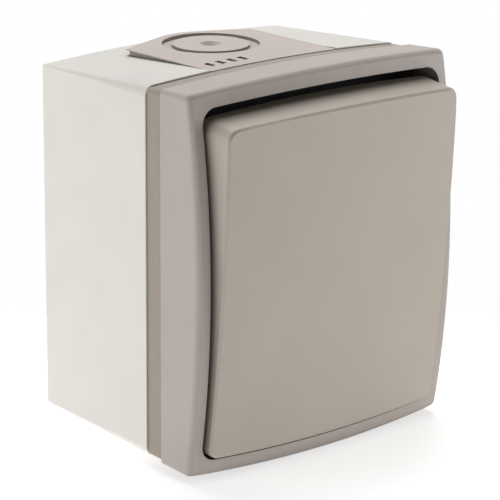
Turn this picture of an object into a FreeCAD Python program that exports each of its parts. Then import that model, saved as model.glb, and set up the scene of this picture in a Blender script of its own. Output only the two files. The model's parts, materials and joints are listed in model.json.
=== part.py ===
"""Outdoor weatherproof switch: surface box, sealed front frame, tilting rocker and two-way mechanism.

X runs to the right, Z up, and the front looks along -Y. The wall face lies in y = 0, so a depth is a
distance forward from the wall. Pieces that tilt are drawn about their own pivot and then leaned over.
"""
import FreeCAD, Part
import math
import os
import re
import Sketcher

SIZES = {
    # wall box: outline at the wall, widening towards the front
    "back_half_width": 35.25,
    "back_crown": 41.45,
    "back_corner": 0.2,
    "flare": 3.2,
    "crown_radius": 530.0,
    "box_depth": 39.4,
    "box_wall": 2.2,
    "box_floor": 2.4,
    "fixing_half_spacing": 30.0,
    "fixing_radius": 2.25,
    "fixing_slot_length": 7.5,
    "knockout_radius": 10.0,
    "knockout_groove": 0.8,
    "knockout_score": 1.2,
    # grommet in the notch of the top wall
    "grommet_half_width": 18.7,
    "grommet_back": 9.4,
    "grommet_rise": 2.0,
    "grommet_lip": 1.8,
    "grommet_lip_height": 1.5,
    "grommet_gap": 0.25,
    "grommet_lip_gap": 0.62,
    "boss_radius": 13.4,
    "entry_depth": 17.2,
    "flap_thickness": 0.55,
    "flap_reach": 0.6,
    "flap_gap": 0.1,
    "entry_outer": 11.3,
    "entry_inner": 8.9,
    "entry_groove_depth": 0.8,
    "entry_disc_drop": 0.15,
    "entry_dimple": 2.6,
    "entry_well": 2.2,
    "mark_length": 3.0,
    "mark_width": 1.4,
    "mark_pitch": 3.2,
    "mark_depth": 0.8,
    "mark_back": 32.8,
    # seal between box and frame
    "seal_depth": 5.3,
    "seal_width": 3.0,
    "seal_inset": 0.4,
    "joint_break": 0.15,
    "front_corner": 1.1,
    # front frame
    "frame_depth": 15.7,
    "front_upright_radius": 246.0,
    "front_level_radius": 398.0,
    "frame_edge": 1.4,
    "frame_side_border": 3.33,
    "frame_end_border": 3.98,
    "opening_corner": 4.0,
    "spigot_length": 2.2,
    "spigot_gap": 0.2,
    "flange_thickness": 3.5,
    "frame_screw_side": 6.8,
    "frame_screw_end": 9.85,
    "frame_post_radius": 3.5,
    "frame_screw_sink": 0.2,
    # rocker
    "tilt": 4.8,
    "rocker_rise": 2.4,
    "rocker_side_gap": 1.3,
    "rocker_end_gap": 0.4,
    "rocker_corner": 2.8,
    "rocker_draft": 2.9,
    "rocker_edge": 0.5,
    "rocker_wall": 2.2,
    "skirt_gap": 0.55,
    "face_upright_radius": 650.0,
    "face_level_radius": 461.0,
    "rib_width": 1.6,
    "rib_half_length": 26.0,
    # gaiter that seals the cradle
    "gaiter_sheet": 1.0,
    "gaiter_skin": 1.2,
    "gaiter_gap": 0.4,
    "gaiter_ear_gap": 1.2,
    "gaiter_mouth_reach": 10.2,
    "gaiter_mouth_gap": 0.4,
    # cradle, measured from the pivot
    "hub_radius": 4.0,
    "hub_half_length": 14.6,
    "trunnion_radius": 2.5,
    "trunnion_length": 3.2,
    "running_fit": 0.06,
    "stem_half_width": 12.0,
    "stem_half_height": 4.0,
    "saddle_half_width": 14.0,
    "saddle_half_height": 12.0,
    "saddle_reach": 12.0,
    "saddle_thickness": 2.5,
    "tube_radius": 3.2,
    "tube_reach": 9.5,
    "bore_bottom": 1.5,
    # plunger and its spring
    "plunger_radius": 2.0,
    "plunger_length": 8.3,
    "plunger_nose": 1.3,
    "spring_radius": 1.45,
    "spring_wire": 0.25,
    "spring_pitch": 2.2,
    # mechanism housing
    "mechanism_half": 20.0,
    "mechanism_reach": 17.5,
    "mechanism_wall": 2.0,
    "mechanism_floor": 3.0,
    "mechanism_flange": 2.5,
    "mechanism_flange_thickness": 1.5,
    "cover_thickness": 2.0,
    "cover_window_half_width": 9.0,
    "cover_window_half_height": 7.0,
    "ear_thickness": 3.0,
    "ear_gap": 0.4,
    "ear_radius": 4.5,
    "pivot_height": 7.3,
    # support plate
    "plate_setback": 8.9,
    "plate_thickness": 1.5,
    "plate_side_gap": 1.35,
    "plate_end_margin": 1.5,
    "plate_corner": 4.0,
    "plate_window_gap": 0.3,
    "plate_screw_inset": 3.4,
    "plate_post_radius": 3.2,
    # see-saw contact
    "tip_gap": 0.35,
    "seesaw_room": 2.85,
    "seesaw_thickness": 1.2,
    "seesaw_half_width": 3.5,
    "seesaw_end": 2.0,
    "seesaw_tilt": 4.8,
    "ridge_radius": 1.2,
    "ridge_drop": 0.9,
    "contact_inset": 1.0,
    "contact_gap": 0.36,
    "moving_tip_radius": 1.6,
    "moving_tip_height": 1.0,
    # terminals
    "fixed_tip_radius": 1.8,
    "fixed_tip_height": 0.8,
    "strip_thickness": 1.0,
    "strip_half_width": 3.0,
    "post_half_height": 2.5,
    "terminal_side_gap": 2.5,
    "terminal_end_gap": 1.5,
    "clamp_size": 7.0,
    "clamp_wall": 1.0,
    "clamp_front_wall": 2.0,
    "wire_window": 5.0,
    # screws
    "screw_head_radius": 2.7,
    "screw_head_height": 1.7,
    "screw_radius": 1.45,
    "screw_hole_gap": 0.1,
    "frame_screw_length": 16.0,
    "plate_screw_length": 11.0,
    "terminal_screw_length": 4.6,
    "terminal_screw_lift": 0.6,
    "access_gap": 0.6,
}

# sizes that follow from the ones above
FORMULAS = {
    "slope": "tan(flare * 1 deg)",
    "screw_hole": "screw_radius + screw_hole_gap",
    # depths of the box and the front, from the wall forward
    "frame_back": "box_depth + seal_depth",
    "front_depth": "frame_back + frame_depth",
    "flange_back": "frame_back - spigot_length",
    "flange_front": "flange_back + flange_thickness",
    "frame_screw_seat": "flange_front - screw_head_height - frame_screw_sink",
    # depths of the mechanism
    "plate_depth": "box_depth - plate_setback",
    "plate_front": "plate_depth + plate_thickness",
    "cover_back": "plate_front + mechanism_flange_thickness",
    "cover_front": "cover_back + cover_thickness",
    "pivot_depth": "cover_front + pivot_height",
    "mechanism_back": "plate_depth - mechanism_reach",
    "cavity_floor": "mechanism_back + mechanism_floor",
    "strip_top": "cavity_floor + strip_thickness",
    "seesaw_front": "cover_back - seesaw_room",
    "seesaw_depth": "seesaw_front - seesaw_thickness - ridge_drop",
    "tip_drop": "(contact_arm + moving_tip_radius) * sin(seesaw_tilt * 1 deg)",
    "tip_depth": "seesaw_depth + (ridge_drop - moving_tip_height) * cos(seesaw_tilt * 1 deg)",
    "fixed_tip_depth": "tip_depth - tip_drop - contact_gap",
    "plunger_reach": "pivot_depth - seesaw_front - tip_gap",
    # grommet
    "grommet_top": "back_crown + grommet_rise",
    "grommet_ceiling": "back_crown + slope * (grommet_back - grommet_lip) - box_wall",
    "grommet_base": "grommet_ceiling - grommet_lip_gap",
    # outlines of the front
    "opening_half_width": "back_half_width + slope * front_depth - frame_side_border",
    "opening_crown": "back_crown + slope * front_depth - frame_end_border",
    "frame_screw_x": "opening_half_width - frame_screw_side",
    "frame_screw_z": "opening_crown - frame_screw_end",
    "rocker_reach": "front_depth + rocker_rise - pivot_depth",
    "rocker_half_width": "opening_half_width - rocker_side_gap",
    "rocker_crown": "opening_crown - rocker_reach * sin(tilt * 1 deg) - rocker_end_gap",
    "skirt_rise": "flange_front + gaiter_sheet + skirt_gap - pivot_depth",
    "skirt_reach": "(skirt_rise + opening_crown * sin(tilt * 1 deg)) / cos(tilt * 1 deg)",
    # gaiter, spread so that it clears the cover's ears
    "ear_inner": "hub_half_length + ear_gap",
    "ear_outer": "ear_inner + ear_thickness",
    "gaiter_mouth_depth": "pivot_depth + gaiter_mouth_reach",
    "gaiter_mouth_x": "stem_half_width + gaiter_mouth_gap",
    "gaiter_mouth_z": "stem_half_height + gaiter_mouth_reach * sin(tilt * 1 deg) + gaiter_mouth_gap",
    "gaiter_slope": "(ear_outer + gaiter_ear_gap - gaiter_mouth_x) / (gaiter_mouth_reach - ear_radius)",
    "gaiter_spread": "(gaiter_mouth_depth - flange_front) * gaiter_slope",
    "gaiter_foot_x": "gaiter_mouth_x + gaiter_spread",
    "gaiter_foot_z": "gaiter_mouth_z + gaiter_spread",
    # outlines of the mechanism
    "mechanism_rim": "mechanism_half + mechanism_flange",
    "cavity_half": "mechanism_half - mechanism_wall",
    "plate_half_width": "back_half_width + slope * plate_depth - box_wall - plate_side_gap",
    "plate_half_height": "mechanism_rim + plate_end_margin",
    "plate_screw_x": "plate_half_width - plate_screw_inset",
    "terminal_x": "cavity_half - clamp_size / 2 - terminal_side_gap",
    "terminal_z": "cavity_half - clamp_size / 2 - terminal_end_gap",
    "contact_arm": "terminal_z - contact_inset",
    "seesaw_half_length": "contact_arm + seesaw_end",
}

doc = FreeCAD.newDocument("weatherproof_switch")
sheet = doc.addObject("Spreadsheet::Sheet", "sizes")
CELLS = {**SIZES, **{alias: f"={formula}" for alias, formula in FORMULAS.items()}}
for row, (alias, content) in enumerate(CELLS.items(), start=1):
    sheet.set(f"A{row}", alias.replace("_", " "))
    sheet.setAlias(f"B{row}", alias)
    sheet.set(f"B{row}", str(content))
doc.recompute()

ALIASES = re.compile(r"\b(" + "|".join(CELLS) + r")\b")
FRAME_SCREW_PLACES = (("-frame_screw_x", "frame_screw_z"), ("frame_screw_x", "-frame_screw_z"))
PLATE_SCREW_PLACES = (("-plate_screw_x", "0"), ("plate_screw_x", "0"))
TERMINAL_PLACES = (("-terminal_x", "terminal_z"), ("-terminal_x", "-terminal_z"),
                   ("terminal_x", "-terminal_z"))


def bound(text):
    """The formula with every size taken from the sheet."""
    return ALIASES.sub(r"sizes.\1", str(text))


def number(text):
    """The formula's present value, for a first drawing that the constraints then hold."""
    return float(sheet.evalExpression(bound(text)))


def half_width(depth):
    return f"(back_half_width + slope * {depth})"


def crown(depth):
    return f"(back_crown + slope * {depth})"


def new_body(label):
    body = doc.addObject("PartDesign::Body", label)
    body.Label = label
    return body


def lean(piece, depth, degrees):
    """Sets a piece that was drawn about its pivot at that depth, turned about X."""
    piece.setExpression("Placement.Base.y", bound(f"-({depth})"))
    piece.setExpression("Placement.Rotation.Axis.x", "1")
    piece.setExpression("Placement.Rotation.Axis.y", "0")
    piece.setExpression("Placement.Rotation.Axis.z", "0")
    piece.setExpression("Placement.Rotation.Angle", bound(degrees))


def new_sketch(body, name, role="XZ_Plane", offset="0"):
    """Empty sketch on one of the body's own planes; on XZ_Plane the offset is a depth."""
    sketch = body.newObject("Sketcher::SketchObject", name)
    plane = next(item for item in body.Origin.OriginFeatures if item.Role == role)
    sketch.AttachmentSupport = [(plane, "")]
    sketch.MapMode = "FlatFace"
    sketch.setExpression("AttachmentOffset.Base.z", bound(offset))
    return sketch


def hold(sketch, kind, *where):
    """Adds a driven dimension: the last entry is its formula, the others say what it measures."""
    *spots, text = where
    index = sketch.addConstraint(Sketcher.Constraint(kind, *spots, number(text)))
    sketch.setExpression(f"Constraints[{index}]", bound(text))


def hold_point(sketch, geometry, spot, place):
    """Ties a point to its place, measured from the sketch's origin."""
    for kind, axis, text in (("DistanceX", -2, place[0]), ("DistanceY", -1, place[1])):
        if str(text) == "0":
            sketch.addConstraint(Sketcher.Constraint("PointOnObject", geometry, spot, axis))
        else:
            hold(sketch, kind, -1, 1, geometry, spot, text)


def draw_polygon(sketch, places):
    """Closed outline of straight lines through the given places."""
    points = [FreeCAD.Vector(number(x), number(y), 0) for x, y in places]
    first = sketch.GeometryCount
    count = len(points)
    for i in range(count):
        sketch.addGeometry(Part.LineSegment(points[i], points[(i + 1) % count]))
    for i in range(count):
        sketch.addConstraint(Sketcher.Constraint("Coincident", first + i, 2, first + (i + 1) % count, 1))
        hold_point(sketch, first + i, 1, places[i])
    return first


def draw_rectangle(sketch, left, right, low, high):
    return draw_polygon(sketch, [(left, low), (right, low), (right, high), (left, high)])


def draw_centred(sketch, half_x, half_y):
    return draw_rectangle(sketch, f"-({half_x})", half_x, f"-({half_y})", half_y)


def draw_circle(sketch, x, y, radius):
    middle = FreeCAD.Vector(number(x), number(y), 0)
    index = sketch.addGeometry(Part.Circle(middle, FreeCAD.Vector(0, 0, 1), number(radius)))
    hold_point(sketch, index, 3, (x, y))
    hold(sketch, "Radius", index, radius)


def draw_slot(sketch, y, radius, length):
    """Upright slot on the sketch's vertical axis, with its middle at height y."""
    reach = f"({length} / 2 - {radius})"
    r = number(radius)
    low = number(f"{y} - {reach}")
    high = number(f"{y} + {reach}")
    up = FreeCAD.Vector(0, 0, 1)
    first = sketch.GeometryCount
    sketch.addGeometry(Part.ArcOfCircle(Part.Circle(FreeCAD.Vector(0, high, 0), up, r), 0, math.pi))
    sketch.addGeometry(Part.LineSegment(FreeCAD.Vector(-r, high, 0), FreeCAD.Vector(-r, low, 0)))
    sketch.addGeometry(Part.ArcOfCircle(Part.Circle(FreeCAD.Vector(0, low, 0), up, r), math.pi, 2 * math.pi))
    sketch.addGeometry(Part.LineSegment(FreeCAD.Vector(r, low, 0), FreeCAD.Vector(r, high, 0)))
    for i in range(4):
        sketch.addConstraint(Sketcher.Constraint("Tangent", first + i, 2, first + (i + 1) % 4, 1))
    hold_point(sketch, first, 3, ("0", f"{y} + {reach}"))
    hold_point(sketch, first + 2, 3, ("0", f"{y} - {reach}"))
    hold(sketch, "Radius", first, radius)


def draw_arched(sketch, half_x, top, corner):
    """Outline with upright sides, arched top and bottom, and rounded corners, centred on the origin."""
    w, big, r = number(half_x), number("crown_radius"), number(corner)
    drop = big - number(top)
    corner_x = w - r
    corner_z = math.sqrt((big - r) ** 2 - corner_x ** 2) - drop
    turn = math.atan2(corner_z + drop, corner_x)
    up = FreeCAD.Vector(0, 0, 1)

    def arc(x, z, radius, start, end):
        sketch.addGeometry(Part.ArcOfCircle(Part.Circle(FreeCAD.Vector(x, z, 0), up, radius), start, end))

    def line(x, start, end):
        sketch.addGeometry(Part.LineSegment(FreeCAD.Vector(x, start, 0), FreeCAD.Vector(x, end, 0)))

    arc(0, -drop, big, turn, math.pi - turn)
    arc(-corner_x, corner_z, r, math.pi - turn, math.pi)
    line(-w, corner_z, -corner_z)
    arc(-corner_x, -corner_z, r, math.pi, math.pi + turn)
    arc(0, drop, big, math.pi + turn, 2 * math.pi - turn)
    arc(corner_x, -corner_z, r, 2 * math.pi - turn, 2 * math.pi)
    line(w, -corner_z, corner_z)
    arc(corner_x, corner_z, r, 0, turn)
    for i in range(8):
        sketch.addConstraint(Sketcher.Constraint("Tangent", i, 2, (i + 1) % 8, 1))
    for other in (3, 5, 7):
        sketch.addConstraint(Sketcher.Constraint("Equal", 1, other))
    sketch.addConstraint(Sketcher.Constraint("Equal", 0, 4))
    for arch in (0, 4):
        sketch.addConstraint(Sketcher.Constraint("PointOnObject", arch, 3, -2))
    for side in (2, 6):
        sketch.addConstraint(Sketcher.Constraint("Vertical", side))
    hold(sketch, "Radius", 1, corner)
    hold(sketch, "Radius", 0, "crown_radius")
    hold(sketch, "DistanceY", 0, 3, -1, 1, f"crown_radius - {top}")
    hold(sketch, "DistanceY", -1, 1, 4, 3, f"crown_radius - {top}")
    hold(sketch, "DistanceX", 2, 1, -1, 1, half_x)
    hold(sketch, "DistanceX", -1, 1, 6, 1, half_x)


def draw_arch_cap(sketch, half, top, height):
    """Region above an arch with the crown's radius, for trimming a block to it."""
    w, r, peak, high = number(half), number("crown_radius"), number(top), number(f"{top} + {height}")
    turn = math.asin(w / r)
    low = peak - r + r * math.cos(turn)
    circle = Part.Circle(FreeCAD.Vector(0, peak - r, 0), FreeCAD.Vector(0, 0, 1), r)
    sketch.addGeometry(Part.ArcOfCircle(circle, math.pi / 2 - turn, math.pi / 2 + turn))
    corners = [(-w, low), (-w, high), (w, high), (w, low)]
    for a, b in zip(corners, corners[1:]):
        sketch.addGeometry(Part.LineSegment(FreeCAD.Vector(*a, 0), FreeCAD.Vector(*b, 0)))
    for i in range(4):
        sketch.addConstraint(Sketcher.Constraint("Coincident", i, 2, (i + 1) % 4, 1))
    hold_point(sketch, 0, 3, ("0", f"{top} - crown_radius"))
    hold(sketch, "Radius", 0, "crown_radius")
    hold_point(sketch, 2, 1, (f"-{half}", f"{top} + {height}"))
    hold_point(sketch, 2, 2, (half, f"{top} + {height}"))
    for side in (1, 3):
        sketch.addConstraint(Sketcher.Constraint("Vertical", side))


def draw_tongue(sketch, half, front, back, radius):
    """Outline in plan: straight sides, with the rear tangent to a round boss over the cable entry."""
    w, r, centre = number(half), number(radius), -number("entry_depth")
    near, far = -number(front), -number(back)
    turn = math.atan2(far - centre, w) + math.acos(r / math.hypot(w, far - centre))
    touch_x, touch_y = r * math.cos(turn), centre + r * math.sin(turn)
    ring = Part.Circle(FreeCAD.Vector(0, centre, 0), FreeCAD.Vector(0, 0, 1), r)

    def line(*ends):
        sketch.addGeometry(Part.LineSegment(*[FreeCAD.Vector(x, y, 0) for x, y in ends]))

    line((-w, near), (w, near))
    line((w, near), (w, far))
    line((w, far), (touch_x, touch_y))
    sketch.addGeometry(Part.ArcOfCircle(ring, turn, math.pi - turn))
    line((-touch_x, touch_y), (-w, far))
    line((-w, far), (-w, near))
    for a, b in ((0, 1), (1, 2), (4, 5), (5, 0)):
        sketch.addConstraint(Sketcher.Constraint("Coincident", a, 2, b, 1))
    for a, b in ((2, 3), (3, 4)):
        sketch.addConstraint(Sketcher.Constraint("Tangent", a, 2, b, 1))
    hold_point(sketch, 0, 1, (f"-{half}", f"-{front}"))
    hold_point(sketch, 0, 2, (half, f"-{front}"))
    hold_point(sketch, 1, 2, (half, f"-{back}"))
    hold_point(sketch, 4, 2, (f"-{half}", f"-{back}"))
    hold_point(sketch, 3, 3, ("0", "-entry_depth"))
    hold(sketch, "Radius", 3, radius)


def add_feature(body, kind, name, sketch, **sizes):
    """Feature made from a sketch, with its sizes tied to formulas."""
    feature = body.newObject(f"PartDesign::{kind}", name)
    feature.Profile = sketch
    for key, text in sizes.items():
        feature.setExpression(key, bound(text))
    sketch.Visibility = False
    return feature


def flared(body, kind, name, back, front, corner, inset="0"):
    """Pad or pocket that follows the box's flare between two depths, set in from the outer face.

    The corner radius is given at the back and grows with the flare.
    """
    start = back if kind == "Pad" else front
    outline = new_sketch(body, f"{name}_outline", offset=start)
    draw_arched(outline, f"({half_width(start)} - {inset})", f"({crown(start)} - {inset})",
                f"({corner} + slope * ({start} - {back}))")
    taper = "flare" if kind == "Pad" else "-flare"
    return add_feature(body, kind, name, outline, Length=f"{front} - {back}", TaperAngle=taper)


def dressed(body, kind, name, size, wanted):
    """Fillet or chamfer on the edges of the body's present shape that the test picks."""
    doc.recompute()
    base = body.Tip
    names = [f"Edge{i}" for i, edge in enumerate(base.Shape.Edges, start=1) if wanted(edge)]
    feature = body.newObject(f"PartDesign::{kind}", name)
    feature.Base = (base, names)
    feature.setExpression("Radius" if kind == "Fillet" else "Size", bound(size))
    return feature


def break_rim(body, name, depth):
    """Small chamfer round the outer edge at one depth, where the seal sits back between two pieces."""
    level = -number(depth)
    return dressed(body, "Chamfer", name, "joint_break",
                   lambda edge: abs(edge.BoundBox.YMin - level) + edge.BoundBox.YLength < 1e-3)


def cut_barrel(body, name, front, tall, upright_radius, level_radius):
    """Trims the front to a barrel face: one radius up and down, another from side to side."""
    slack = "(4 * frame_edge)"
    reach = f"({level_radius} + {slack})"
    centre = f"-({level_radius} - {upright_radius})"
    sketch = new_sketch(body, f"{name}_profile", "YZ_Plane")
    sketch.setExpression("AttachmentOffset.Base.x", bound(f"{level_radius} - {front}"))
    r, mid, top = number(upright_radius), number(centre), number(tall)
    turn = math.asin(top / r)
    arc_x = mid - r * math.cos(turn)
    circle = Part.Circle(FreeCAD.Vector(mid, 0, 0), FreeCAD.Vector(0, 0, 1), r)
    sketch.addGeometry(Part.ArcOfCircle(circle, math.pi - turn, math.pi + turn))
    corners = [(arc_x, -top), (-number(reach), -top), (-number(reach), top), (arc_x, top)]
    for a, b in zip(corners, corners[1:]):
        sketch.addGeometry(Part.LineSegment(FreeCAD.Vector(*a, 0), FreeCAD.Vector(*b, 0)))
    for a, b in ((0, 1), (1, 2), (2, 3)):
        sketch.addConstraint(Sketcher.Constraint("Coincident", a, 2, b, 1))
    sketch.addConstraint(Sketcher.Constraint("Coincident", 3, 2, 0, 1))
    hold_point(sketch, 0, 3, (centre, "0"))
    hold(sketch, "Radius", 0, upright_radius)
    hold(sketch, "DistanceY", -1, 1, 0, 1, tall)
    hold(sketch, "DistanceY", 0, 2, -1, 1, tall)
    hold_point(sketch, 2, 1, (f"-{reach}", f"-{tall}"))
    hold_point(sketch, 2, 2, (f"-{reach}", tall))
    groove = body.newObject("PartDesign::Groove", name)
    groove.Profile = sketch
    groove.ReferenceAxis = (sketch, ["V_Axis"])
    groove.Midplane = True
    groove.setExpression("Angle", bound(f"4 * atan({half_width(front)} / {level_radius})"))
    return groove


def pad_box(body, name, depth, length, *sides):
    """Straight block standing forward from a depth; the sides are left, right, low and high."""
    sketch = new_sketch(body, f"{name}_outline", offset=depth)
    draw_rectangle(sketch, *sides)
    return add_feature(body, "Pad", name, sketch, Length=length)


def pad_centred(body, name, depth, length, half_x, half_z):
    return pad_box(body, name, depth, length, f"-({half_x})", half_x, f"-({half_z})", half_z)


def pocket_circles(body, name, depth, length, radius, places, kind="Pocket"):
    """Round holes cut back from a depth, or round posts standing forward from it."""
    sketch = new_sketch(body, f"{name}_circles", offset=depth)
    for x, z in places:
        draw_circle(sketch, x, z, radius)
    return add_feature(body, kind, name, sketch, Length=length)


def across(body, name, kind, left, length, depth, radius):
    """Round bar or hole along X, centred at a depth on the middle plane."""
    sketch = new_sketch(body, f"{name}_circle", "YZ_Plane", left)
    draw_circle(sketch, f"-({depth})" if depth != "0" else "0", "0", radius)
    feature = add_feature(body, kind, name, sketch, Length=length)
    feature.Reversed = kind == "Pocket"
    return feature


def make_wall_box():
    box = new_body("wall_box")
    flared(box, "Pad", "box_block", "0", "box_depth", "back_corner")
    break_rim(box, "box_rim", "box_depth")
    floor_corner = "(back_corner + slope * box_floor)"
    flared(box, "Pocket", "box_hollow", "box_floor", "box_depth", floor_corner, "box_wall")
    root = "(box_floor / 2)"
    pocket_circles(box, "frame_posts", root, f"flange_back - {root}", "frame_post_radius",
                   FRAME_SCREW_PLACES, "Pad")
    pocket_circles(box, "plate_posts", root, f"plate_depth - {root}", "plate_post_radius",
                   PLATE_SCREW_PLACES, "Pad")
    frame_hole = "frame_screw_length - (frame_screw_seat - flange_back) + screw_radius"
    pocket_circles(box, "frame_holes", "flange_back", frame_hole, "screw_hole", FRAME_SCREW_PLACES)
    plate_hole = "plate_screw_length - plate_thickness + screw_radius"
    pocket_circles(box, "plate_holes", "plate_depth", plate_hole, "screw_hole", PLATE_SCREW_PLACES)

    slots = new_sketch(box, "fixing_slots_outline", offset="box_floor")
    for height in ("fixing_half_spacing", "(-fixing_half_spacing)"):
        draw_slot(slots, height, "fixing_radius", "fixing_slot_length")
    add_feature(box, "Pocket", "fixing_slots", slots, Length="box_floor")

    above = f"({crown('box_depth')} + box_wall)"
    in_front = "(box_depth + box_wall)"
    seat = new_sketch(box, "flap_seat_outline", "XY_Plane", above)
    draw_tongue(seat, "(grommet_half_width + grommet_gap)", in_front, "(grommet_back - grommet_gap)",
                "boss_radius + grommet_gap")
    add_feature(box, "Pocket", "flap_seat", seat, Length=f"{above} - grommet_top + flap_thickness + flap_gap")
    play = "(flap_reach - grommet_gap)"
    notch = new_sketch(box, "grommet_notch_outline", "XY_Plane", above)
    draw_tongue(notch, f"(grommet_half_width - {play})", in_front, f"(grommet_back + {play})",
                f"boss_radius - {play}")
    add_feature(box, "Pocket", "grommet_notch", notch, Length=f"{above} - back_crown + 2 * box_wall")

    knockout = new_sketch(box, "knockout_rings", "XY_Plane", f"-{above}")
    draw_circle(knockout, "0", "-entry_depth", "knockout_radius")
    draw_circle(knockout, "0", "-entry_depth", "knockout_radius + knockout_groove")
    score = add_feature(box, "Pocket", "knockout_groove_cut", knockout,
                        Length=f"{above} - {crown('entry_depth')} + knockout_score")
    score.Reversed = True
    return box


def make_cable_grommet():
    grommet = new_body("cable_grommet")
    lip = new_sketch(grommet, "lip_outline", "XY_Plane", "grommet_base - grommet_lip_height")
    lip_side = "(grommet_half_width + grommet_lip)"
    draw_rectangle(lip, f"-{lip_side}", lip_side, "-box_depth", "-(grommet_back - grommet_lip)")
    add_feature(grommet, "Pad", "lip", lip, Length="grommet_lip_height")
    slab = new_sketch(grommet, "slab_outline", "XY_Plane", "grommet_base")
    draw_tongue(slab, "(grommet_half_width - flap_reach)", "box_depth", "(grommet_back + flap_reach)",
                "boss_radius - flap_reach")
    add_feature(grommet, "Pad", "slab", slab, Length="grommet_top - grommet_base - flap_thickness")
    flap = new_sketch(grommet, "flap_outline", "XY_Plane", "grommet_top - flap_thickness")
    draw_tongue(flap, "grommet_half_width", "box_depth", "grommet_back", "boss_radius")
    add_feature(grommet, "Pad", "flap", flap, Length="flap_thickness")
    arch = new_sketch(grommet, "arch_outline", offset="box_depth")
    draw_arch_cap(arch, lip_side, "grommet_top", "grommet_lip")
    add_feature(grommet, "Pocket", "arched_top", arch, Length="box_depth")

    entry = new_sketch(grommet, "entry_profile", "YZ_Plane")
    entry.setExpression("AttachmentOffset.Base.x", bound("-entry_depth"))
    groove_floor = "grommet_top - entry_groove_depth"
    disc = "grommet_top - entry_disc_drop"
    clear = "grommet_top + entry_groove_depth"
    draw_polygon(entry, [("0", clear), ("entry_outer", clear), ("entry_outer", groove_floor),
                         ("entry_inner", groove_floor), ("entry_inner", disc), ("entry_dimple", disc),
                         ("0", "grommet_top - entry_well")])
    rings = grommet.newObject("PartDesign::Groove", "entry_rings")
    rings.Profile = entry
    rings.ReferenceAxis = (entry, ["V_Axis"])
    rings.Angle = 360

    marks = new_sketch(grommet, "marks_outline", "XY_Plane", "grommet_top")
    for i in range(4):
        left = f"(-grommet_half_width + {i + 1} * mark_pitch)"
        draw_rectangle(marks, left, f"{left} + mark_width", "-(mark_back + mark_length)", "-mark_back")
    add_feature(grommet, "Pocket", "marks", marks, Length="mark_depth")
    return grommet


def make_frame_seal():
    seal = new_body("frame_seal")
    flared(seal, "Pad", "seal_block", "box_depth", "frame_back", "front_corner", "seal_inset")
    flared(seal, "Pocket", "seal_opening", "box_depth", "frame_back", "front_corner", "seal_width")
    return seal


def make_front_frame():
    """Barrel-fronted surround; its front edge is rounded in flats that touch the radius frame_edge."""
    frame = new_body("front_frame")
    block_front = "(front_depth + frame_edge)"
    flared(frame, "Pad", "frame_block", "frame_back", block_front, "front_corner")
    break_rim(frame, "frame_rim", "frame_back")
    tall = f"({crown(block_front)} + frame_edge)"
    cut_barrel(frame, "frame_front", "front_depth", tall, "front_upright_radius", "front_level_radius")

    def front_edge(edge):
        return edge.BoundBox.YMax < -number("frame_back + frame_edge") and edge.BoundBox.YLength < 6

    def flat_edge(edge):
        return front_edge(edge) and edge.BoundBox.DiagonalLength > number("4 * frame_edge")

    dressed(frame, "Chamfer", "front_bevel", "frame_edge * (2 - sqrt(2))", front_edge)
    dressed(frame, "Chamfer", "front_rounding", "frame_edge * (tan(22.5 deg) - tan(11.25 deg))", flat_edge)
    opening = new_sketch(frame, "opening_outline", offset=block_front)
    draw_arched(opening, "opening_half_width", "opening_crown", "opening_corner")
    add_feature(frame, "Pocket", "opening", opening, Length=f"{block_front} - flange_front")
    spigot = new_sketch(frame, "spigot_outline", offset="flange_back")
    inset = "(seal_width + spigot_gap)"
    draw_arched(spigot, f"({half_width('box_depth')} - {inset})", f"({crown('box_depth')} - {inset})",
                "opening_corner")
    add_feature(frame, "Pad", "spigot", spigot, Length="flange_thickness")
    aperture = new_sketch(frame, "aperture_outline", offset="flange_front")
    draw_centred(aperture, "gaiter_foot_x", "gaiter_foot_z")
    add_feature(frame, "Pocket", "aperture", aperture, Length="flange_thickness")
    pocket_circles(frame, "frame_screw_holes", "flange_front", "flange_thickness", "screw_hole",
                   FRAME_SCREW_PLACES)
    pocket_circles(frame, "frame_screw_sinks", "flange_front", "screw_head_height + frame_screw_sink",
                   "screw_head_radius + access_gap", FRAME_SCREW_PLACES)
    return frame


def rocker_block(body, front, inset):
    """Drafted block with the rocker's barrel face, set in from the outer skin."""
    outline = new_sketch(body, f"{body.Name}_outline", offset="skirt_reach")
    grown = "(tan(rocker_draft * 1 deg) * (rocker_reach - skirt_reach))"
    draw_arched(outline, f"(rocker_half_width + {grown} - {inset})", f"(rocker_crown + {grown} - {inset})",
                f"(rocker_corner + {grown})")
    add_feature(body, "Pad", f"{body.Name}_block", outline, Length=f"{front} + rocker_edge - skirt_reach",
                TaperAngle="-rocker_draft")
    cut_barrel(body, f"{body.Name}_face", front, "(rocker_crown + frame_edge)",
               f"(face_upright_radius - {inset})", f"(face_level_radius - {inset})")


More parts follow.
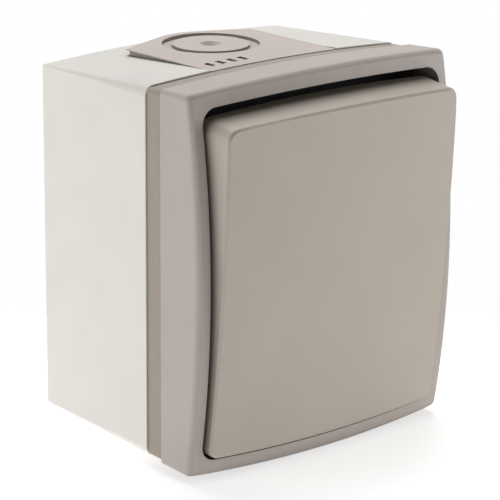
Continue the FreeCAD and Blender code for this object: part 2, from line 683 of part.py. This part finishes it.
def make_rocker():
    rocker = new_body("rocker")
    rocker_block(rocker, "rocker_reach", "0")

    def face_edge(edge):
        return edge.BoundBox.YMax < -number("(rocker_reach + skirt_reach) / 2")

    dressed(rocker, "Chamfer", "face_break", "rocker_edge", face_edge)
    core = new_body("rocker_core")
    rocker_block(core, "(rocker_reach - rocker_wall)", "rocker_wall")
    hollow = rocker.newObject("PartDesign::Boolean", "rocker_hollow")
    hollow.setObjects([core])
    hollow.Type = "Cut"

    seat = "(saddle_reach + saddle_thickness)"
    rib_length = f"rocker_reach - rocker_wall / 2 - {seat}"
    row = "(saddle_half_height - 2 * rib_width)"
    for name, sign in (("upper_rib", ""), ("lower_rib", "-")):
        pad_box(rocker, name, seat, rib_length, "-rib_half_length", "rib_half_length",
                f"{sign}{row} - rib_width / 2", f"{sign}{row} + rib_width / 2")
    column = "(saddle_half_width - 2 * rib_width)"
    for name, sign in (("right_rib", ""), ("left_rib", "-")):
        pad_box(rocker, name, seat, rib_length, f"{sign}{column} - rib_width / 2",
                f"{sign}{column} + rib_width / 2", f"-{row}", row)
    lean(rocker, "pivot_depth", "tilt")
    return rocker


def add_wedge(body, kind, name, skin):
    """Four-sided taper from the gaiter's foot on the flange to its mouth, grown by a skin."""
    wedge = body.newObject(f"PartDesign::{kind}Wedge", name)
    faces = {"Ymin": "-gaiter_mouth_depth", "Ymax": "-flange_front"}
    for axis in "xz":
        mouth = f"(gaiter_mouth_{axis} + {skin})"
        foot = f"(gaiter_foot_{axis} + {skin})"
        faces[f"{axis.upper()}min"] = f"-{mouth}"
        faces[f"{axis.upper()}max"] = mouth
        faces[f"{axis.upper()}2min"] = f"-{foot}"
        faces[f"{axis.upper()}2max"] = foot
    for key, text in faces.items():
        wedge.setExpression(key, bound(text))


def make_rocker_gaiter():
    """Rubber sheet over the floor of the frame's well, drawn up to a sleeve round the cradle's stem."""
    gaiter = new_body("rocker_gaiter")
    sheet_outline = new_sketch(gaiter, "sheet_outline", offset="flange_front")
    draw_arched(sheet_outline, "(opening_half_width - gaiter_gap)", "(opening_crown - gaiter_gap)",
                "opening_corner")
    add_feature(gaiter, "Pad", "sheet", sheet_outline, Length="gaiter_sheet")
    add_wedge(gaiter, "Additive", "sleeve", "gaiter_skin")
    add_wedge(gaiter, "Subtractive", "sleeve_inside", "0")
    return gaiter


def make_rocker_cradle():
    """Hub on two trunnions, with a saddle for the rocker in front and the plunger's tube behind."""
    cradle = new_body("rocker_cradle")
    across(cradle, "hub", "Pad", "-hub_half_length", "2 * hub_half_length", "0", "hub_radius")
    reach = "(hub_half_length + trunnion_length)"
    across(cradle, "trunnions", "Pad", f"-{reach}", f"2 * {reach}", "0", "trunnion_radius")
    pad_centred(cradle, "stem", "0", "saddle_reach", "stem_half_width", "stem_half_height")
    pad_centred(cradle, "saddle", "saddle_reach", "saddle_thickness",
                "saddle_half_width", "saddle_half_height")
    middle = [("0", "0")]
    pocket_circles(cradle, "tube", "-tube_reach", "tube_reach", "tube_radius", middle, "Pad")
    bore = pocket_circles(cradle, "tube_bore", "-tube_reach", "tube_reach + bore_bottom",
                          "plunger_radius + running_fit", middle)
    bore.Reversed = True
    lean(cradle, "pivot_depth", "tilt")
    return cradle


def make_plunger():
    plunger = new_body("plunger")
    pocket_circles(plunger, "pin", "-plunger_reach", "plunger_length", "plunger_radius", [("0", "0")], "Pad")
    tip = number("plunger_reach")
    dressed(plunger, "Chamfer", "nose", "plunger_nose", lambda edge: abs(edge.BoundBox.YMin - tip) < 1e-3)
    lean(plunger, "pivot_depth", "tilt")
    return plunger


def make_plunger_spring():
    """Coil of square wire between the plunger and the bottom of the cradle's bore."""
    spring = new_body("plunger_spring")
    wire = new_sketch(spring, "wire_section", "XY_Plane")
    middle = "(-bore_bottom + 1.2 * spring_wire)"
    draw_rectangle(wire, "spring_radius - spring_wire", "spring_radius + spring_wire",
                   f"{middle} - spring_wire", f"{middle} + spring_wire")
    coil = spring.newObject("PartDesign::AdditiveHelix", "coil")
    coil.Profile = wire
    coil.ReferenceAxis = (wire, ["V_Axis"])
    coil.Mode = "pitch-height-angle"
    coil.setExpression("Pitch", bound("spring_pitch"))
    coil.setExpression("Height", bound("bore_bottom + plunger_reach - plunger_length - 2.4 * spring_wire"))
    lean(spring, "pivot_depth", "tilt")
    return spring


def make_mechanism_base():
    base = new_body("mechanism_base")
    pad_centred(base, "base_block", "mechanism_back", "plate_front - mechanism_back",
                "mechanism_half", "mechanism_half")
    pad_centred(base, "base_flange", "plate_front", "mechanism_flange_thickness",
                "mechanism_rim", "mechanism_rim")
    cavity = new_sketch(base, "cavity_outline", offset="cover_back")
    draw_centred(cavity, "cavity_half", "cavity_half")
    add_feature(base, "Pocket", "cavity", cavity, Length="cover_back - cavity_floor")
    low = "(strip_top + clamp_wall)"
    high = "(strip_top + clamp_size - clamp_front_wall)"
    for name, start, heights in (("left_windows", "-mechanism_half", ("terminal_z", "(-terminal_z)")),
                                 ("right_window", "cavity_half", ("(-terminal_z)",))):
        window = new_sketch(base, f"{name}_outline", "YZ_Plane", start)
        for height in heights:
            draw_rectangle(window, f"-{high}", f"-{low}", f"{height} - wire_window / 2",
                           f"{height} + wire_window / 2")
        cut = add_feature(base, "Pocket", name, window, Length="mechanism_wall")
        cut.Reversed = True
    return base


def make_mechanism_cover():
    cover = new_body("mechanism_cover")
    pad_centred(cover, "cover_plate", "cover_back", "cover_thickness", "mechanism_rim", "mechanism_rim")
    for side, start in (("left", "-ear_outer"), ("right", "ear_inner")):
        foot = new_sketch(cover, f"{side}_ear_outline", "YZ_Plane", start)
        draw_rectangle(foot, "-pivot_depth", "-(cover_front - cover_thickness / 2)",
                       "-ear_radius", "ear_radius")
        add_feature(cover, "Pad", f"{side}_ear", foot, Length="ear_thickness")
        across(cover, f"{side}_ear_top", "Pad", start, "ear_thickness", "pivot_depth", "ear_radius")
    across(cover, "pivot_holes", "Pocket", "-ear_outer", "2 * ear_outer", "pivot_depth",
           "trunnion_radius + running_fit")
    window = new_sketch(cover, "window_outline", offset="cover_front")
    draw_centred(window, "cover_window_half_width", "cover_window_half_height")
    add_feature(cover, "Pocket", "window", window, Length="cover_thickness")
    pocket_circles(cover, "access_holes", "cover_front", "cover_thickness", "screw_head_radius + access_gap",
                   TERMINAL_PLACES)
    return cover


def make_support_plate():
    plate = new_body("support_plate")
    pad_centred(plate, "sheet_blank", "plate_depth", "plate_thickness",
                "plate_half_width", "plate_half_height")
    window = new_sketch(plate, "plate_window_outline", offset="plate_front")
    side = "(mechanism_half + plate_window_gap)"
    draw_centred(window, side, side)
    add_feature(plate, "Pocket", "plate_window", window, Length="plate_thickness")
    pocket_circles(plate, "plate_screw_holes", "plate_front", "plate_thickness", "screw_hole",
                   PLATE_SCREW_PLACES)
    dressed(plate, "Fillet", "plate_corners", "plate_corner",
            lambda edge: edge.BoundBox.YLength > number("plate_thickness / 2")
            and abs(edge.BoundBox.XMin) > number("plate_half_width") - 1e-3)
    return plate


def make_contact_seesaw():
    seesaw = new_body("contact_seesaw")
    pad_centred(seesaw, "arm", "ridge_drop", "seesaw_thickness", "seesaw_half_width", "seesaw_half_length")
    across(seesaw, "ridge", "Pad", "-seesaw_half_width", "2 * seesaw_half_width", "0", "ridge_radius")
    lean(seesaw, "seesaw_depth", "-seesaw_tilt")
    return seesaw


def make_common_terminal():
    """L-shaped strip on the floor of the base, with the post whose trough the see-saw rocks in."""
    terminal = new_body("common_terminal")
    near = "(terminal_x - clamp_size / 2)"
    far = "(terminal_x + clamp_size / 2)"
    low = "-(terminal_z + clamp_size / 2)"
    foot = new_sketch(terminal, "common_foot_outline", offset="cavity_floor")
    draw_polygon(foot, [("-strip_half_width", "-post_half_height"), (near, "-post_half_height"), (near, low),
                        (far, low), (far, "post_half_height"), ("-strip_half_width", "post_half_height")])
    add_feature(terminal, "Pad", "common_foot", foot, Length="strip_thickness")
    trough_lip = "(ridge_radius / 6)"
    pad_centred(terminal, "post", "cavity_floor", f"seesaw_depth - {trough_lip} - cavity_floor",
                "strip_half_width", "post_half_height")
    across(terminal, "trough", "Pocket", "-strip_half_width", "2 * strip_half_width", "seesaw_depth",
           "ridge_radius + running_fit")
    return terminal


def make_fixed_terminal(label, sign):
    """Bent strip: foot on the floor of the base, upright leg, and the shelf that carries a contact tip."""
    terminal = new_body(label)
    shelf = "(fixed_tip_depth - fixed_tip_height)"
    inner = f"{sign}(contact_arm - 1.2 * fixed_tip_radius)"
    leg = f"{sign}(terminal_z + clamp_size / 2 - strip_thickness)"
    outer = f"{sign}(terminal_z + clamp_size / 2)"
    bend = new_sketch(terminal, f"{label}_profile", "YZ_Plane", "-strip_half_width")
    draw_polygon(bend, [("-cavity_floor", inner), ("-cavity_floor", outer), (f"-{shelf}", outer),
                        (f"-{shelf}", inner), (f"-({shelf} - strip_thickness)", inner),
                        (f"-({shelf} - strip_thickness)", leg), ("-strip_top", leg),
                        ("-strip_top", inner)])
    add_feature(terminal, "Pad", f"{label}_bend", bend, Length="2 * strip_half_width")
    foot_inner = f"{sign}(terminal_z - clamp_size / 2)"
    pad_box(terminal, f"{label}_foot", "cavity_floor", "strip_thickness", "-(terminal_x + clamp_size / 2)",
            "-strip_half_width", foot_inner, outer)
    return terminal


def set_place(piece, x, depth, z):
    """Puts a plain solid at a place with its axis pointing forward."""
    piece.Placement.Rotation = FreeCAD.Rotation(FreeCAD.Vector(1, 0, 0), 90)
    for axis, text in (("x", x), ("y", f"-({depth})"), ("z", z)):
        piece.setExpression(f"Placement.Base.{axis}", bound(text))


def new_cylinder(name, radius, length, x, depth, z):
    cylinder = doc.addObject("Part::Cylinder", name)
    cylinder.setExpression("Radius", bound(radius))
    cylinder.setExpression("Height", bound(length))
    set_place(cylinder, x, depth, z)
    return cylinder


def new_block(name, sizes, x, depth, z):
    """Block of given width, height and length, with its back face centred at the place."""
    block = doc.addObject("Part::Box", name)
    for key, text in zip(("Length", "Width", "Height"), sizes):
        block.setExpression(key, bound(text))
    set_place(block, f"{x} - {sizes[0]} / 2", depth, f"{z} - {sizes[1]} / 2")
    return block


def combined(kind, name, first, second):
    result = doc.addObject(f"Part::{kind}", name)
    result.Base = first
    result.Tool = second
    return result


def new_group(label, members):
    group = doc.addObject("Part::Compound", label)
    group.Label = label
    group.Links = members
    return group


def make_screws(label, places, seat, length):
    """Screws whose heads rest on a seat at one depth."""
    screws = []
    for i, (x, z) in enumerate(places):
        name = f"{label}_{i}"
        head = new_cylinder(f"{name}_head", "screw_head_radius", "screw_head_height", x, seat, z)
        shank = new_cylinder(f"{name}_shank", "screw_radius", length, x, f"{seat} - {length}", z)
        screws.append(combined("Fuse", name, head, shank))
    return new_group(label, screws)


def make_terminal_clamps():
    """Square cages, open from side to side for the wire and bored in front for the screw."""
    clamps = []
    side = "clamp_size"
    opening = "(clamp_size - 2 * clamp_wall)"
    depth = "(clamp_size - clamp_wall - clamp_front_wall)"
    for i, (x, z) in enumerate(TERMINAL_PLACES):
        name = f"clamp_{i}"
        cage = new_block(f"{name}_cage", (side, side, side), x, "strip_top", z)
        way = new_block(f"{name}_way", ("2 * clamp_size", opening, depth), x, "strip_top + clamp_wall", z)
        bore = new_cylinder(f"{name}_bore", "screw_hole", side, x, f"strip_top + clamp_wall + {depth} / 2", z)
        hollow = combined("Cut", f"{name}_hollow", cage, way)
        clamps.append(combined("Cut", name, hollow, bore))
    return new_group("terminal_clamps", clamps)


def make_tips(label, radius, height, depth):
    """Pair of contact tips, one on each arm."""
    places = (("upper", "contact_arm"), ("lower", "-contact_arm"))
    return new_group(label, [new_cylinder(f"{label}_{name}", radius, height, "0", depth, z)
                             for name, z in places])


pieces = [
    make_wall_box(),
    make_cable_grommet(),
    make_frame_seal(),
    make_front_frame(),
    make_rocker(),
    make_rocker_gaiter(),
    make_rocker_cradle(),
    make_plunger(),
    make_plunger_spring(),
    make_mechanism_base(),
    make_mechanism_cover(),
    make_support_plate(),
    make_contact_seesaw(),
    make_common_terminal(),
    make_fixed_terminal("upper_terminal", ""),
    make_fixed_terminal("lower_terminal", "-"),
    make_terminal_clamps(),
    make_tips("fixed_tips", "fixed_tip_radius", "fixed_tip_height", "fixed_tip_depth - fixed_tip_height"),
    make_tips("moving_tips", "moving_tip_radius", "moving_tip_height", "ridge_drop - moving_tip_height"),
    make_screws("frame_screws", FRAME_SCREW_PLACES, "frame_screw_seat", "frame_screw_length"),
    make_screws("plate_screws", PLATE_SCREW_PLACES, "plate_front", "plate_screw_length"),
    make_screws("terminal_screws", TERMINAL_PLACES, "(strip_top + clamp_size + terminal_screw_lift)",
                "terminal_screw_length"),
]
lean(doc.getObject("moving_tips"), "seesaw_depth", "-seesaw_tilt")
doc.recompute()

for item in doc.Objects:
    if "Invalid" in item.State or "Error" in item.State:
        raise RuntimeError(f"{item.Label} did not build")
os.makedirs("parts", exist_ok=True)
for piece in pieces:
    if piece.Shape.isNull() or not piece.Shape.isValid():
        raise RuntimeError(f"{piece.Label} is not a sound solid")
    piece.Shape.exportStep(f"parts/{piece.Label}.step")
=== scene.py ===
"""Looks of the outdoor weatherproof switch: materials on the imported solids, light and camera."""
import json

import bpy
from mathutils import Matrix, Vector


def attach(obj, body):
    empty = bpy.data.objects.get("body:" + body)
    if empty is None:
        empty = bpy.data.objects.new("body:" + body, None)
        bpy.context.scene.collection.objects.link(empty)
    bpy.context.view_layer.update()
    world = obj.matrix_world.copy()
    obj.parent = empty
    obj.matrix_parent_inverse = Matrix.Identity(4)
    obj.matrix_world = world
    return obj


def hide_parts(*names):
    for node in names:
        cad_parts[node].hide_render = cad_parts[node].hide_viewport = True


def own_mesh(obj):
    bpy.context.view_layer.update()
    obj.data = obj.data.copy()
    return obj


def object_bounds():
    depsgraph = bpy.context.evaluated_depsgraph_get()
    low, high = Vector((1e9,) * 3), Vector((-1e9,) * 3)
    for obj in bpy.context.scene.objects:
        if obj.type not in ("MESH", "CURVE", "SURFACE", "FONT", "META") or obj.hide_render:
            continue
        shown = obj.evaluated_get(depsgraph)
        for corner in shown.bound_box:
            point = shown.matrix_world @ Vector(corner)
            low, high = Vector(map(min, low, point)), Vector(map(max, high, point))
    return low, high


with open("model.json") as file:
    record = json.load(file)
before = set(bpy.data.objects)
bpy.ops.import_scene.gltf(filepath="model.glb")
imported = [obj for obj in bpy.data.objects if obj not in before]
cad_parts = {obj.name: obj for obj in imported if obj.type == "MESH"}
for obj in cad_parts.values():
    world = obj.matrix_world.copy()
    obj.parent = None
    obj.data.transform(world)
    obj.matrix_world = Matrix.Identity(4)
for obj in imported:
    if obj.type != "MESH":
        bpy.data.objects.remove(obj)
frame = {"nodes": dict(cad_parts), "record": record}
cad_low, cad_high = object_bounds()
scene = bpy.context.scene
scene.view_settings.view_transform = "Standard"

MM = 0.001
WHITE = (1, 1, 1, 1)

# camera fitted to the photograph: angles in radians, place of the wall's centre before the lens in mm
IMAGE_PX = 500
SENSOR_MM = 36.0
FOCAL_PX = 2841.7
CENTRE_PX = (288.3, 282.6)
CAMERA_TURN = 0.73286
CAMERA_TILT = 0.29036
CAMERA_ROLL = 0.01013
CENTRE_FROM_LENS = Vector((-29.65, -17.18, 676.42))

# surface of the plastics and metals: noise scales per metre, painted shade in crevices (from ambient
# occlusion) as a share of the colour
TONE_SCALE = 60.0
TONE_DETAIL = 3.0
GLOSS_SCALE = 140.0
GLOSS_DETAIL = 2.0
GLOSS_SPREAD = 0.06
GRAIN_DETAIL = 4.0
GRAIN_HEIGHT = 0.2 * MM
# painted shade: how far the occlusion looks for other surfaces, and the darkest share of the colour it
# leaves
PAINTED_SHADE_REACH = 3.0 * MM
PAINTED_SHADE_TONE = 0.3

# floor of white paper on a lit table
FLOOR_HALF = 1.5
PAPER = (0.93, 0.93, 0.93)
PAPER_ROUGHNESS = 0.9
TABLE_LEVEL = 0.65
FADE_START = 60 * MM
FADE_END = 110 * MM

# colour, roughness and reach of the painted crevice shade for each plastic or rubber slot
PLASTICS = {
    "box_plastic": ((0.78, 0.753, 0.702), 0.55, PAINTED_SHADE_REACH),
    "front_plastic": ((0.468, 0.411, 0.372), 0.5, PAINTED_SHADE_REACH),
    # the rocker's doubled reach paints shade on its sides down towards the gap at the frame's opening
    "rocker_plastic": ((0.5, 0.442, 0.377), 0.5, 2 * PAINTED_SHADE_REACH),
    "seal_plastic": ((0.35, 0.3, 0.25), 0.6, PAINTED_SHADE_REACH),
    "grommet_rubber": ((0.61, 0.538, 0.487), 0.65, PAINTED_SHADE_REACH),
    "gaiter_rubber": ((0.008, 0.008, 0.008), 0.8, PAINTED_SHADE_REACH),
    "mechanism_plastic": ((0.7, 0.69, 0.65), 0.5, PAINTED_SHADE_REACH),
    "cover_plastic": ((0.05, 0.05, 0.055), 0.5, PAINTED_SHADE_REACH),
}

# colour and roughness of each metal slot
METALS = {
    "plate_steel": ((0.6, 0.6, 0.58), 0.4),
    "screw_steel": ((0.66, 0.64, 0.58), 0.35),
    "pin_steel": ((0.55, 0.55, 0.56), 0.3),
    "contact_brass": ((0.75, 0.56, 0.26), 0.35),
    "tip_silver": ((0.82, 0.82, 0.8), 0.3),
}

# place in metres, width and height in metres and power in watts of each lamp
LAMPS = {
    "left_softbox": ((-0.64, 0.22, 0.12), (0.4, 0.35), 1.58),
    "right_softbox": ((0.56, -0.43, 0.08), (0.4, 0.22), 1.42),
    "back_softbox": ((0.13, 0.2, 0.58), (0.5, 0.5), 3.4),
}


def set_camera():
    """Puts the camera where the photograph was taken from."""
    to_view = Matrix(((1, 0, 0), (0, 0, -1), (0, 1, 0)))
    turn = Matrix.Rotation(CAMERA_TURN, 3, "Z")
    tilt = Matrix.Rotation(CAMERA_TILT, 3, "X")
    roll = Matrix.Rotation(CAMERA_ROLL, 3, "Z")
    world_to_view = roll @ tilt @ to_view @ turn
    place = -(world_to_view.transposed() @ CENTRE_FROM_LENS) * MM
    right, down, ahead = world_to_view
    data = bpy.data.cameras.new("camera")
    data.sensor_width = SENSOR_MM
    data.lens = FOCAL_PX / IMAGE_PX * SENSOR_MM
    data.shift_x = 0.5 - CENTRE_PX[0] / IMAGE_PX
    data.shift_y = CENTRE_PX[1] / IMAGE_PX - 0.5
    camera = bpy.data.objects.new("camera", data)
    axes = Matrix((right, -down, -ahead)).transposed().to_4x4()
    camera.matrix_world = Matrix.Translation(place) @ axes
    scene.collection.objects.link(camera)
    scene.camera = camera


def node_input(node, name, value):
    """Sets one unlinked socket of a shader node."""
    node.inputs[name].default_value = value


def plastic(name, colour, roughness, reach=PAINTED_SHADE_REACH, grain_scale=900.0, grain_depth=0.12, shade=0.06):
    """Moulded plastic: fine grain, slow changes of tone and gloss, and painted shade: the colour darkened
    by ambient occlusion in crevices, in gaps and next to other parts.
    """
    material = bpy.data.materials.new(name)
    material.use_nodes = True
    nodes, links = material.node_tree.nodes, material.node_tree.links
    shader = nodes["Principled BSDF"]
    place = nodes.new("ShaderNodeTexCoord")

    def noise(scale, detail):
        texture = nodes.new("ShaderNodeTexNoise")
        node_input(texture, "Scale", scale)
        node_input(texture, "Detail", detail)
        links.new(place.outputs["Object"], texture.inputs["Vector"])
        return texture.outputs["Fac"]

    tone = nodes.new("ShaderNodeMix")
    tone.data_type = "RGBA"
    tone.inputs["A"].default_value = [c * (1 - shade) for c in colour] + [1]
    tone.inputs["B"].default_value = [min(1.0, c * (1 + shade)) for c in colour] + [1]
    links.new(noise(TONE_SCALE, TONE_DETAIL), tone.inputs["Factor"])

    # painted shade: ambient occlusion darkens the base colour towards a share of itself in crevices, gaps
    # and next to other parts
    hollow = nodes.new("ShaderNodeAmbientOcclusion")
    node_input(hollow, "Distance", reach)
    painted_crevice_shade = nodes.new("ShaderNodeMix")
    painted_crevice_shade.data_type = "RGBA"
    painted_crevice_shade.inputs["A"].default_value = [c * PAINTED_SHADE_TONE for c in colour] + [1]
    links.new(hollow.outputs["AO"], painted_crevice_shade.inputs["Factor"])
    links.new(tone.outputs["Result"], painted_crevice_shade.inputs["B"])
    links.new(painted_crevice_shade.outputs["Result"], shader.inputs["Base Color"])

    gloss = nodes.new("ShaderNodeMapRange")
    node_input(gloss, "To Min", roughness - GLOSS_SPREAD)
    node_input(gloss, "To Max", roughness + GLOSS_SPREAD)
    links.new(noise(GLOSS_SCALE, GLOSS_DETAIL), gloss.inputs["Value"])
    links.new(gloss.outputs["Result"], shader.inputs["Roughness"])

    bump = nodes.new("ShaderNodeBump")
    node_input(bump, "Strength", grain_depth)
    node_input(bump, "Distance", GRAIN_HEIGHT)
    links.new(noise(grain_scale, GRAIN_DETAIL), bump.inputs["Height"])
    links.new(bump.outputs["Normal"], shader.inputs["Normal"])
    return material


def metal(name, colour, roughness):
    """Metal with a finer, shallower grain than the plastics."""
    material = plastic(name, colour, roughness, grain_scale=1500.0, grain_depth=0.05, shade=0.1)
    node_input(material.node_tree.nodes["Principled BSDF"], "Metallic", 1.0)
    return material


def dress_nodes():
    """Gives each CAD node its slot's material and shading that is smooth across small facets."""
    looks = {slot: plastic(slot, *look) for slot, look in PLASTICS.items()}
    looks.update({slot: metal(slot, *look) for slot, look in METALS.items()})
    for row in frame["record"]["subparts"]:
        solid = frame["nodes"][row["node"]]
        solid.data.materials.clear()
        solid.data.materials.append(looks[row["material_slot"]])
        shading = solid.modifiers.new("shading", "WEIGHTED_NORMAL")
        shading.keep_sharp = True


def make_spring():
    """Coil in place of the plunger's spring: a copy of its mesh on the rocker's body, with the CAD spring
    hidden.
    """
    solid = frame["nodes"]["plunger_spring"]
    coil = bpy.data.objects.new("spring_coil", solid.data.copy())
    coil.matrix_world = solid.matrix_world
    scene.collection.objects.link(coil)
    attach(coil, "rocker")
    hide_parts("plunger_spring")
    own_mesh(coil)


def background_rays(nodes, links):
    """Gives 1 on rays that show the background, seen straight, mirrored or refracted, and 0 on the rest."""
    path = nodes.new("ShaderNodeLightPath")
    shown = path.outputs["Is Camera Ray"]
    for kind in ("Is Glossy Ray", "Is Transmission Ray"):
        either = nodes.new("ShaderNodeMath")
        either.operation = "MAXIMUM"
        links.new(shown, either.inputs[0])
        links.new(path.outputs[kind], either.inputs[1])
        shown = either.outputs["Value"]
    return shown


def fading_floor():
    """Lit white paper that fades into the white backdrop some way from the part, so no horizon shows."""
    # the paper also takes plastic()'s painted crevice shade: a painted shadow on the paper next to the
    # part's foot
    material = plastic("floor_paper", PAPER, PAPER_ROUGHNESS)
    nodes, links = material.node_tree.nodes, material.node_tree.links
    paper = nodes["Principled BSDF"]
    node_input(paper, "Emission Color", WHITE)
    node_input(paper, "Emission Strength", TABLE_LEVEL)
    place = nodes.new("ShaderNodeTexCoord")
    distance = nodes.new("ShaderNodeVectorMath")
    distance.operation = "LENGTH"
    links.new(place.outputs["Object"], distance.inputs[0])
    fade = nodes.new("ShaderNodeMapRange")
    fade.interpolation_type = "SMOOTHSTEP"
    node_input(fade, "From Min", FADE_START)
    node_input(fade, "From Max", FADE_END)
    links.new(distance.outputs["Value"], fade.inputs["Value"])
    seen = nodes.new("ShaderNodeMath")
    seen.operation = "MULTIPLY"
    links.new(fade.outputs["Result"], seen.inputs[0])
    links.new(background_rays(nodes, links), seen.inputs[1])
    clear = nodes.new("ShaderNodeBsdfTransparent")
    blend = nodes.new("ShaderNodeMixShader")
    links.new(seen.outputs["Value"], blend.inputs["Fac"])
    links.new(paper.outputs["BSDF"], blend.inputs[1])
    links.new(clear.outputs["BSDF"], blend.inputs[2])
    links.new(blend.outputs["Shader"], nodes["Material Output"].inputs["Surface"])
    return material


def make_stage():
    """Floor under the part, and a world that is white as a background and adds no other light."""
    half = FLOOR_HALF
    corners = [(-half, -half, 0), (half, -half, 0), (half, half, 0), (-half, half, 0)]
    mesh = bpy.data.meshes.new("floor")
    mesh.from_pydata(corners, [], [(0, 1, 2, 3)])
    mesh.materials.append(fading_floor())
    floor = bpy.data.objects.new("floor", mesh)
    floor.location = (0, (cad_low.y + cad_high.y) / 2, cad_low.z)
    scene.collection.objects.link(floor)

    world = bpy.data.worlds.new("studio")
    world.use_nodes = True
    nodes, links = world.node_tree.nodes, world.node_tree.links
    backdrop = nodes["Background"]
    node_input(backdrop, "Color", WHITE)
    links.new(background_rays(nodes, links), backdrop.inputs["Strength"])
    scene.world = world


def area_lamp(name, place, size, power):
    """Soft rectangular lamp that faces the part."""
    data = bpy.data.lights.new(name, "AREA")
    data.shape = "RECTANGLE"
    data.size, data.size_y = size
    data.energy = power
    lamp = bpy.data.objects.new(name, data)
    middle = (cad_low + cad_high) / 2
    lamp.location = place
    lamp.rotation_euler = (middle - Vector(place)).to_track_quat("-Z", "Y").to_euler()
    scene.collection.objects.link(lamp)


set_camera()
dress_nodes()
make_spring()
make_stage()
for lamp_name, lamp_values in LAMPS.items():
    area_lamp(lamp_name, *lamp_values)
